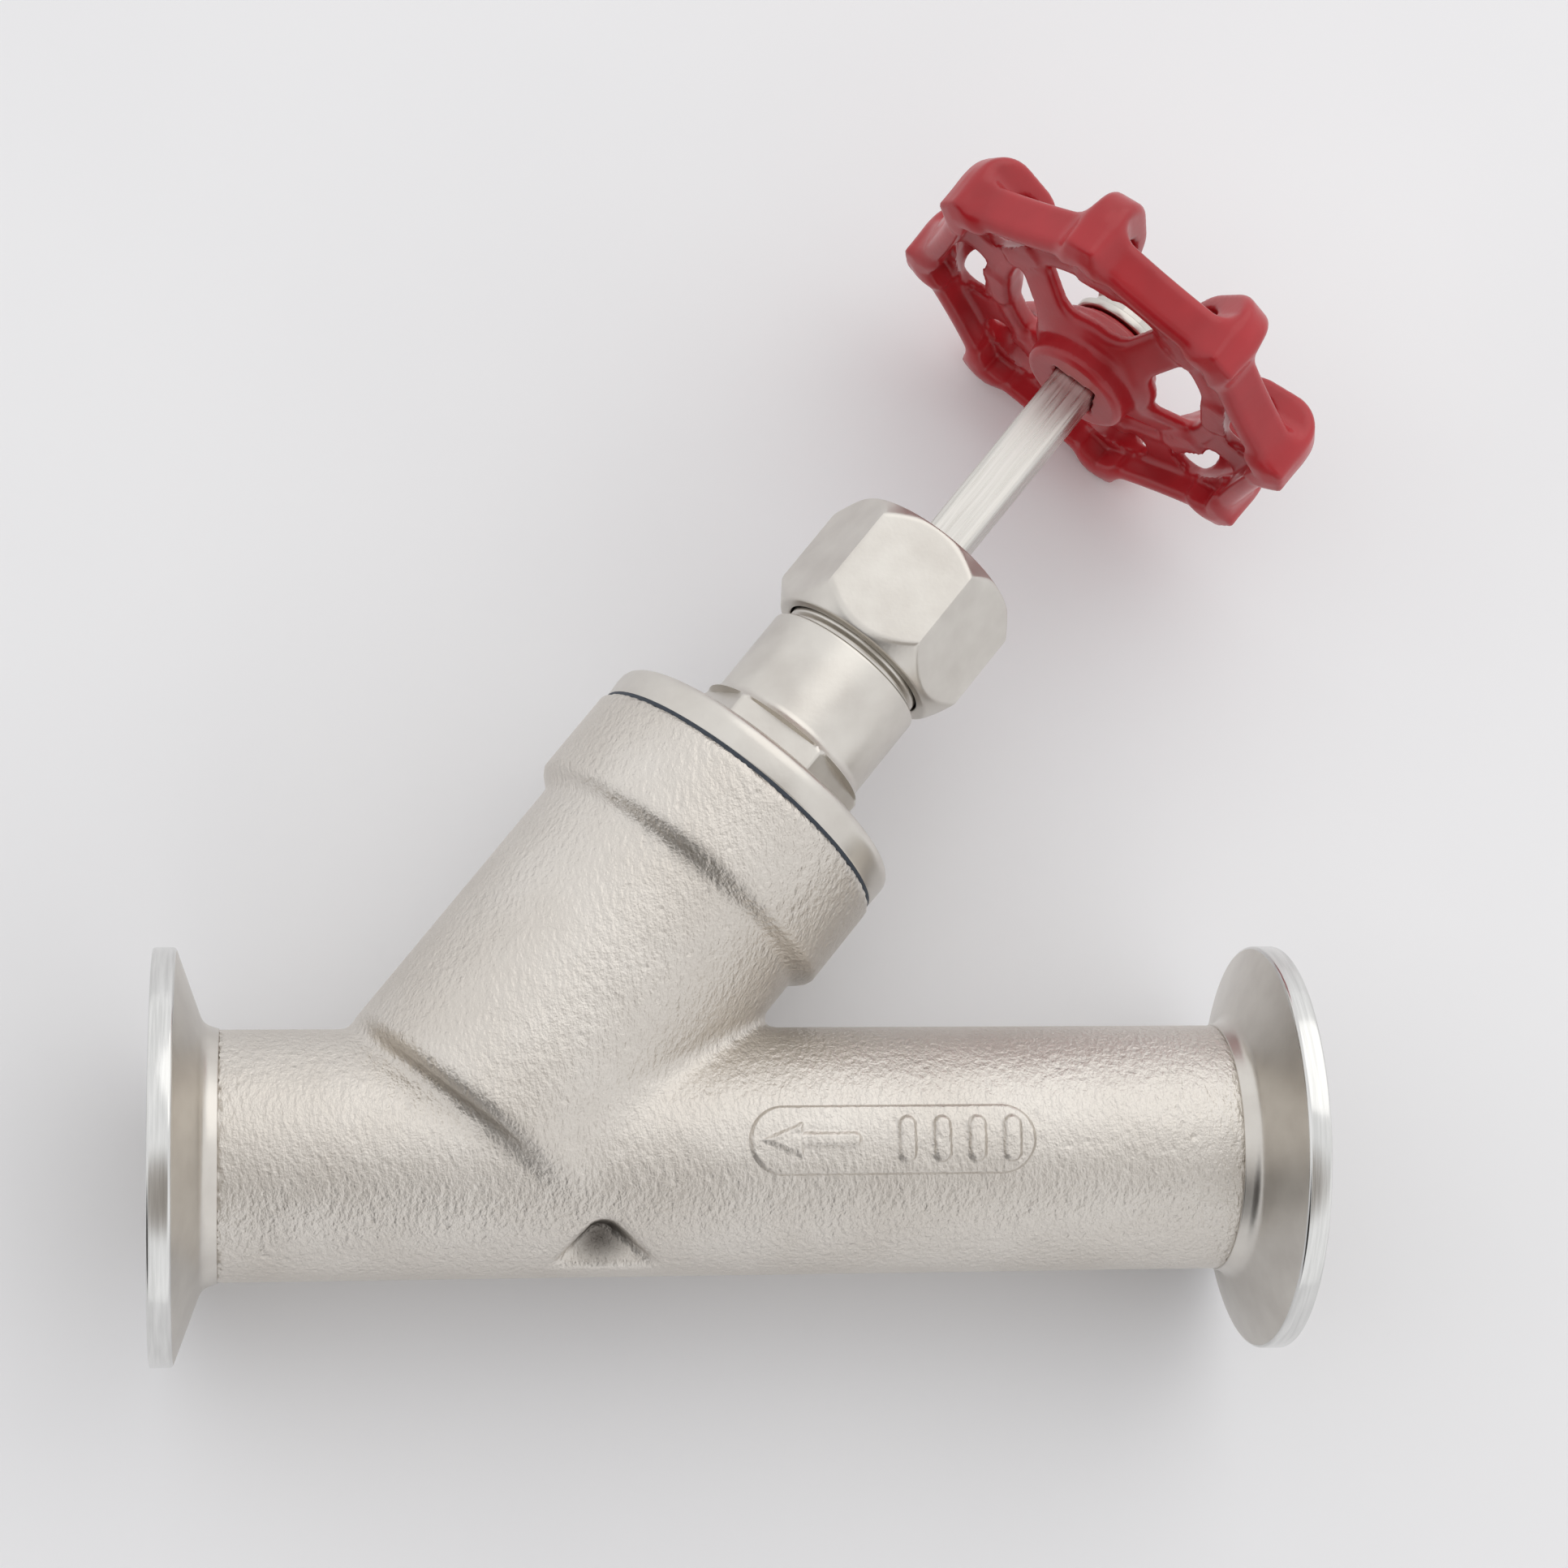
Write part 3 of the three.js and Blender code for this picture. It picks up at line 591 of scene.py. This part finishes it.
def star(radius, angle):
    """Distance outside the wheel's outline: a concave arc between each two points."""
    half = np.pi / LOBES
    reach = (POINT_R**2 - VALLEY_R**2) / (2 * (POINT_R * np.cos(half) - VALLEY_R))
    turn = nearest_turn(angle, LOBES, FIRST_POINT + np.degrees(half))
    arc = reach - VALLEY_R - np.hypot(radius * np.cos(turn) - reach, radius * np.sin(turn))
    return common(arc, radius - POINT_R + 0.3, 1.0)


def handwheel_solid(x, y, z):
    """Dished wheel: star rim, web and ring with four spokes, a pierced ear on each point, hub.

    The rim and web are a star-shaped plate less a cavity, and the web falls towards the hub.
    """
    z = z - WHEEL_FOOT
    radius, angle = np.hypot(x, y), np.arctan2(y, x)
    outline = star(radius, angle)
    dish = DISH_SLOPE * np.clip(DISH_R - radius, 0, 8)
    disc = common(outline - RIM_DRAFT * z, np.maximum(z - RIM_TOP + dish, -z), 1.2)
    cavity = common(outline + RIM_WALL, z - WEB_FOOT + dish, 0.9)
    body = common(disc, -cavity, 0.8)
    from_spoke = radius * np.sin(np.abs(nearest_turn(angle, SPOKES, FIRST_POINT)))
    band = np.maximum(WINDOW_R[0] - radius, radius - WINDOW_R[1])
    window = common(band, SPOKE_HALF - from_spoke, 1.8)
    body = common(body, -window, 0.8)
    ring_width = np.abs(radius - RING_R) - RING_HALF_WIDTH
    ring = common(ring_width, np.abs(z - RING_MIDDLE) - RING_HALF_HEIGHT, 0.7)
    body = join(body, ring, 0.8)
    turn = nearest_turn(angle, LOBES, FIRST_POINT)
    out, aside = radius * np.cos(turn), np.abs(radius * np.sin(turn))
    ear_length = np.abs(out - EAR_MIDDLE_R) - EAR_HALF_LENGTH
    shoulders = common(ear_length, np.abs(z - EAR_MIDDLE) - EAR_HALF_HEIGHT, EAR_ROUND)
    ear = common(common(shoulders, aside - EAR_HALF_WIDTH, 1.1), -z, 0.5)
    body = join(body, np.maximum(ear, -cavity), 2.2)
    hole = np.hypot(out - HOLE_PLACE_R, z - HOLE_PLACE) - HOLE_R + 0.08 * aside
    body = common(body, -common(hole, aside - HOLE_HALF, 1.8), 0.7)
    hub = common(radius - HUB_R - 0.1 * (z + HUB_DROP), np.abs(z - HUB_MIDDLE) - HUB_HALF, 0.8)
    boss = common(radius - BOSS_R, np.abs(z - BOSS_MIDDLE) - BOSS_HALF, 0.4)
    body = join(body, np.minimum(hub, boss), 1.6)
    c, s = np.cos(SQUARE_TURN), np.sin(SQUARE_TURN)
    square = np.maximum(np.abs(x * c + y * s), np.abs(y * c - x * s))
    return np.maximum(body, SQUARE_HALF - square)


def handwheel():
    """The wheel's surface, as the contour of its solid, from the hub's foot to the ears' tops."""
    low = (-33.5, -33.5, HUB_FOOT - 1)
    high = (33.5, 33.5, WHEEL_FOOT + 12.5)
    points, quads = contour(handwheel_solid, low, high, pitch=0.5)
    return mesh_piece("handwheel_casting", stem_line.world(points), quads, crease=50)


# ---- materials -------------------------------------------------------------------------------


def linear(hex_colour):
    """Linear RGBA of an sRGB hex colour."""
    srgb = [int(hex_colour[i : i + 2], 16) / 255 for i in (0, 2, 4)]
    return [c / 12.92 if c <= 0.04045 else ((c + 0.055) / 1.055) ** 2.4 for c in srgb] + [1.0]


def add(tree, kind, inputs=None, **settings):
    """Adds one node. Settings are its properties; inputs gives each socket a value or a link."""
    made = tree.nodes.new(kind)
    for key, value in settings.items():
        setattr(made, key, value)
    for key, value in (inputs or {}).items():
        if isinstance(value, bpy.types.NodeSocket):
            tree.links.new(value, made.inputs[key])
        else:
            made.inputs[key].default_value = value
    return made


def start_material(name, **constants):
    """A material with a principled shader; constants are the numbers that hold all over it."""
    material = bpy.data.materials.new(name)
    material.use_nodes = True
    tree = material.node_tree
    shader = tree.nodes["Principled BSDF"]
    for key, value in constants.items():
        shader.inputs[key.replace("_", " ").title().replace("Ior", "IOR")].default_value = value
    place = add(tree, "ShaderNodeTexCoord").outputs["Object"]
    return material, tree, shader, place


def per_mm(size):
    """Texture scale that makes a feature about size millimetres wide."""
    return 1 / (size * MM)


def cast_stainless():
    """Investment-cast stainless steel, shot blasted: dull grain, shallow dents, a few pits, and
    painted shade that darkens each relief pocket.
    """
    material, tree, shader, place = start_material("cast_stainless", metallic=1.0)
    grain = add(tree, "ShaderNodeTexNoise", {
        "Vector": place, "Scale": per_mm(0.34), "Detail": 3.0, "Roughness": 0.6})
    stretch = add(tree, "ShaderNodeMapping", {
        "Vector": place, "Rotation": (0, 0, 0.9), "Scale": (1.0, 0.45, 1.0)})
    dents = add(tree, "ShaderNodeTexNoise", {
        "Vector": stretch.outputs[0], "Scale": per_mm(0.7), "Detail": 2.0})
    swell = add(tree, "ShaderNodeTexNoise", {"Vector": place, "Scale": per_mm(7), "Detail": 1.0})
    pits = add(tree, "ShaderNodeTexVoronoi", {
        "Vector": place, "Scale": per_mm(3.4), "Randomness": 1.0})
    pit = add(tree, "ShaderNodeMapRange", {
        "Value": pits.outputs["Distance"], "From Min": 0.0, "From Max": 0.16})
    tone = add(tree, "ShaderNodeTexNoise", {"Vector": place, "Scale": per_mm(16), "Detail": 4.0})
    colour = add(tree, "ShaderNodeValToRGB", {"Fac": tone.outputs["Fac"]})
    colour.color_ramp.elements[0].position, colour.color_ramp.elements[1].position = 0.35, 0.7
    colour.color_ramp.elements[0].color = linear("d2ccc4")
    colour.color_ramp.elements[1].color = linear("dcd7d0")
    tone_and_painted_shade = colour.outputs["Color"]
    for side in (-1, 1):  # painted shade: the colour darkens towards the middle of each relief pocket, where shade falls
        along, across, up = POCKET_SHADE_CENTRE
        pocket = tuple(run.world((across, side * up, along)))
        far = add(tree, "ShaderNodeVectorMath", {0: place, 1: pocket}, operation="DISTANCE")
        painted_pocket_shade = add(tree, "ShaderNodeMapRange", {
            "Value": far.outputs["Value"], "From Min": 2.0 * MM, "From Max": 4.6 * MM,
            "To Min": 0.8, "To Max": 0.0})
        tone_and_painted_shade = add(tree, "ShaderNodeMix", {
            "Factor": painted_pocket_shade.outputs["Result"], "A": tone_and_painted_shade, "B": linear("4a443e")},
            data_type="RGBA").outputs["Result"]
    tree.links.new(tone_and_painted_shade, shader.inputs["Base Color"])
    rough = add(tree, "ShaderNodeMapRange", {
        "Value": grain.outputs["Fac"], "To Min": 0.31, "To Max": 0.45})
    tree.links.new(rough.outputs["Result"], shader.inputs["Roughness"])
    broad = add(tree, "ShaderNodeBump", {
        "Height": swell.outputs["Fac"], "Strength": 0.35, "Distance": 0.6 * MM})
    dented = add(tree, "ShaderNodeBump", {
        "Height": dents.outputs["Fac"], "Strength": 0.8, "Distance": 0.3 * MM,
        "Normal": broad.outputs["Normal"]})
    grained = add(tree, "ShaderNodeBump", {
        "Height": grain.outputs["Fac"], "Strength": 0.7, "Distance": 0.16 * MM,
        "Normal": dented.outputs["Normal"]})
    pitted = add(tree, "ShaderNodeBump", {
        "Height": pit.outputs["Result"], "Strength": 0.6, "Distance": 0.2 * MM,
        "Normal": grained.outputs["Normal"]})
    tree.links.new(pitted.outputs["Normal"], shader.inputs["Normal"])
    return material


def satin_stainless():
    """Machined stainless steel, tumbled: an even satin with faint stains and small dings."""
    material, tree, shader, place = start_material("satin_stainless", metallic=1.0)
    tone = add(tree, "ShaderNodeTexNoise", {"Vector": place, "Scale": per_mm(6), "Detail": 4.0})
    colour = add(tree, "ShaderNodeValToRGB", {"Fac": tone.outputs["Fac"]})
    colour.color_ramp.elements[0].position, colour.color_ramp.elements[1].position = 0.3, 0.65
    colour.color_ramp.elements[0].color = linear("ccc7c0")
    colour.color_ramp.elements[1].color = linear("d9d5ce")
    tree.links.new(colour.outputs["Color"], shader.inputs["Base Color"])
    rough = add(tree, "ShaderNodeMapRange", {
        "Value": tone.outputs["Fac"], "To Min": 0.26, "To Max": 0.36})
    tree.links.new(rough.outputs["Result"], shader.inputs["Roughness"])
    fine = add(tree, "ShaderNodeTexNoise", {"Vector": place, "Scale": per_mm(0.5), "Detail": 3.0})
    bump = add(tree, "ShaderNodeBump", {
        "Height": fine.outputs["Fac"], "Strength": 0.25, "Distance": 0.04 * MM})
    tree.links.new(bump.outputs["Normal"], shader.inputs["Normal"])
    return material


def streaked(name, axis, colour_low, colour_high, rough_low, rough_high, width, stretch):
    """Bright stainless steel worked one way, which leaves streaks that glint in turn.

    They are width millimetres apart, and long in the axis's directions where stretch is small.
    """
    material, tree, shader, place = start_material(name, metallic=1.0)
    turn = Matrix([list(row) for row in axis.basis]).to_euler("XYZ")
    along = add(tree, "ShaderNodeMapping", {"Vector": place, "Rotation": tuple(turn)})
    squeezed = add(tree, "ShaderNodeMapping", {"Vector": along.outputs[0], "Scale": stretch})
    streak = add(tree, "ShaderNodeTexNoise", {
        "Vector": squeezed.outputs[0], "Scale": per_mm(width), "Detail": 4.0})
    colour = add(tree, "ShaderNodeValToRGB", {"Fac": streak.outputs["Fac"]})
    colour.color_ramp.elements[0].position, colour.color_ramp.elements[1].position = 0.35, 0.65
    colour.color_ramp.elements[0].color = linear(colour_low)
    colour.color_ramp.elements[1].color = linear(colour_high)
    tree.links.new(colour.outputs["Color"], shader.inputs["Base Color"])
    rough = add(tree, "ShaderNodeMapRange", {
        "Value": streak.outputs["Fac"], "From Min": 0.3, "From Max": 0.7,
        "To Min": rough_low, "To Max": rough_high})
    tree.links.new(rough.outputs["Result"], shader.inputs["Roughness"])
    bump = add(tree, "ShaderNodeBump", {
        "Height": streak.outputs["Fac"], "Strength": 0.3, "Distance": 0.03 * MM})
    tree.links.new(bump.outputs["Normal"], shader.inputs["Normal"])
    return material


def red_enamel():
    """Baked enamel sprayed on a die-cast wheel: deep red, glossy, with a slight orange peel."""
    material, tree, shader, place = start_material(
        "red_enamel", metallic=0.0, roughness=0.36, coat_weight=0.25, coat_roughness=0.06)
    tone = add(tree, "ShaderNodeTexNoise", {"Vector": place, "Scale": per_mm(9), "Detail": 3.0})
    colour = add(tree, "ShaderNodeValToRGB", {"Fac": tone.outputs["Fac"]})
    colour.color_ramp.elements[0].position, colour.color_ramp.elements[1].position = 0.3, 0.7
    colour.color_ramp.elements[0].color = linear("a1131c")
    colour.color_ramp.elements[1].color = linear("b31a24")
    tree.links.new(colour.outputs["Color"], shader.inputs["Base Color"])
    peel = add(tree, "ShaderNodeTexNoise", {"Vector": place, "Scale": per_mm(1.6), "Detail": 2.0})
    bump = add(tree, "ShaderNodeBump", {
        "Height": peel.outputs["Fac"], "Strength": 0.3, "Distance": 0.1 * MM})
    tree.links.new(bump.outputs["Normal"], shader.inputs["Normal"])
    return material


def plain_filler(name, low, high, roughness, size):
    """A dull non-metal, such as PTFE or graphite fibre, with a mottle of the given size."""
    material, tree, shader, place = start_material(name, roughness=roughness)
    mottle = add(tree, "ShaderNodeTexNoise", {"Vector": place, "Scale": per_mm(size), "Detail": 4.0})
    colour = add(tree, "ShaderNodeValToRGB", {"Fac": mottle.outputs["Fac"]})
    colour.color_ramp.elements[0].color = linear(low)
    colour.color_ramp.elements[1].color = linear(high)
    tree.links.new(colour.outputs["Color"], shader.inputs["Base Color"])
    bump = add(tree, "ShaderNodeBump", {
        "Height": mottle.outputs["Fac"], "Strength": 0.2, "Distance": 0.05 * MM})
    tree.links.new(bump.outputs["Normal"], shader.inputs["Normal"])
    return material


ALONG_THE_AXIS = (1.0, 1.0, 0.03)
ROUND_THE_AXIS = (0.05, 0.05, 1.0)

cast = cast_stainless()
satin = satin_stainless()
polished = streaked(
    "polished_stainless", run, "d2d2d0", "e3e3e1", 0.12, 0.22, 0.4, ROUND_THE_AXIS)
drawn = streaked(
    "drawn_stainless", stem_line, "cbc8c2", "dcd9d4", 0.24, 0.36, 0.35, ALONG_THE_AXIS)
enamel = red_enamel()
ptfe = plain_filler("ptfe", "e2dfd6", "efece5", 0.45, 2)
graphite = plain_filler("graphite_fibre", "20262e", "39424e", 0.6, 0.8)

# ---- the valve, piece by piece -----------------------------------------------------------------


def fit(piece, body, material, slot, *nodes):
    """Dresses a piece, sets it on its body and lets it stand for its node."""
    piece.data.materials.append(material)
    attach(piece, body)
    if nodes:
        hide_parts(*nodes)


def polish_rim(piece):
    """The clamp rim is left bright, and the rest of the ferrule keeps its satin."""
    piece.data.materials.append(polished)
    middles = np.zeros(3 * len(piece.data.polygons))
    piece.data.polygons.foreach_get("center", middles)
    off_run = (middles.reshape(-1, 3) / MM - run.origin) @ run.basis[:2].T
    bright = (np.hypot(*off_run.T) > FERRULE_RIM_R - 0.3).astype(np.int32)
    piece.data.polygons.foreach_set("material_index", bright)


fit(body_casting(), "valve", cast, "cast_steel", "valve_body")
fit(flow_pad(), "valve", cast, "cast_steel")
for name, face, inwards, fillet in (
    ("inlet_ferrule", INLET_FACE, -1, 2.6),
    ("outlet_ferrule", OUTLET_FACE, 1, 1.6),
):
    turned_ferrule = ferrule(name + "_turning", face, inwards, fillet)
    fit(turned_ferrule, "valve", satin, "ferrule_steel", name)
    polish_rim(turned_ferrule)

fit(bonnet(), "valve", satin, "turned_steel", "bonnet")
fit(gland_nut(), "valve", satin, "turned_steel", "gland_nut")
gasket_sheet = simple_ring("gasket_sheet", 16.9, 21.1, 56.35, 56.95, 0.1)
fit(gasket_sheet, "valve", graphite, "gasket_graphite", "bonnet_gasket")
fit(stem_spindle(), "spindle", drawn, "turned_steel", "stem")

fit(disc_plug(), "disc", satin, "turned_steel", "disc_holder")
seat_ring = simple_ring("seat_ring", 4.3, 12.6, SEAL_FOOT, SEAL_FOOT + 4)
fit(seat_ring, "disc", ptfe, "seal_ptfe", "seat_seal")
seal_disc_washer = simple_ring("seal_disc_washer", 4.3, 9.6, SEAL_FOOT - 2, SEAL_FOOT - 0.3)
fit(seal_disc_washer, "disc", satin, "turned_steel", "seal_washer")
seal_disc_nut = hexagon_nut("seal_disc_nut", 13, 4.3, SEAL_FOOT - 7.2, SEAL_FOOT - 2.3, 0)
fit(seal_disc_nut, "disc", satin, "turned_steel", "seal_nut")

fit(handwheel(), "spindle", enamel, "red_enamel", "handwheel")
wheel_flat_washer = simple_ring("wheel_flat_washer", 3, 6.5, 137.8, 139)
fit(wheel_flat_washer, "spindle", satin, "turned_steel", "wheel_washer")
wheel_hexagon_nut = hexagon_nut("wheel_hexagon_nut", 10, 2.95, 140.8, 145.2, 12)
fit(wheel_hexagon_nut, "spindle", satin, "turned_steel", "wheel_nut")

for node in ("packing_support_ring", "gland_follower", "disc_retainer", "spring_washer"):
    frame["nodes"][node].data.materials.clear()
    frame["nodes"][node].data.materials.append(satin)
for number in (1, 2, 3):
    ring = frame["nodes"][f"packing_ring_{number}"]
    ring.data.materials.clear()
    ring.data.materials.append(ptfe)

# ---- bench and light ---------------------------------------------------------------------------


def bench():
    """A pale bench top, wide enough to fill the view."""
    size = 1.5
    mesh = bpy.data.meshes.new("bench")
    mesh.from_pydata(
        [(-size, -size, 0), (size, -size, 0), (size, size, 0), (-size, size, 0)], [], [(0, 1, 2, 3)])
    top = bpy.data.objects.new("bench", mesh)
    bpy.context.scene.collection.objects.link(top)
    material, tree, shader, place = start_material("bench_paint", roughness=0.55)
    mottle = add(tree, "ShaderNodeTexNoise", {"Vector": place, "Scale": per_mm(90), "Detail": 5.0})
    colour = add(tree, "ShaderNodeValToRGB", {"Fac": mottle.outputs["Fac"]})
    colour.color_ramp.elements[0].color = linear("ededef")
    colour.color_ramp.elements[1].color = linear("f5f5f6")
    tree.links.new(colour.outputs["Color"], shader.inputs["Base Color"])
    mesh.materials.append(material)


def softbox(name, place, aim, size, power, tint="ffffff"):
    """A round area lamp at a place, turned to face its aim."""
    data = bpy.data.lights.new(name, "AREA")
    data.shape = "DISK"
    data.size = size
    data.energy = power
    data.color = linear(tint)[:3]
    lamp = bpy.data.objects.new(name, data)
    bpy.context.scene.collection.objects.link(lamp)
    lamp.location = place
    lamp.rotation_euler = (Vector(aim) - Vector(place)).to_track_quat("-Z", "Y").to_euler()


def room_light():
    """A bright, even room with two soft dark patches on the side away from the bonnet."""
    world = bpy.data.worlds.new("room")
    bpy.context.scene.world = world
    world.use_nodes = True
    tree = world.node_tree
    way = add(tree, "ShaderNodeTexCoord").outputs["Generated"]
    light = None
    for toward, fade, shade in (
        ((-0.66, -0.66, 0.36), (0.80, 0.97), "1c1815"),
        ((0.02, -0.44, 0.90), (0.88, 0.995), "a09a94"),
    ):
        patch = tuple(unit(valve_space(toward)))
        near = add(tree, "ShaderNodeVectorMath", {0: way, 1: patch}, operation="DOT_PRODUCT")
        share = add(tree, "ShaderNodeMapRange", {
            "Value": near.outputs["Value"], "From Min": fade[0], "From Max": fade[1]},
            interpolation_type="SMOOTHSTEP")
        light = add(tree, "ShaderNodeMix", {
            "Factor": share.outputs["Result"], "A": light or linear("f6f6f7"), "B": linear(shade)},
            data_type="RGBA").outputs["Result"]
    back = tree.nodes["Background"]
    tree.links.new(light, back.inputs["Color"])
    back.inputs["Strength"].default_value = 1.06


bench()
room_light()
softbox("window", (0.55, 0.75, 1.0), (0, 0, 0), 1.4, 2.4, "fffdf8")

bpy.context.scene.view_settings.view_transform = "Standard"
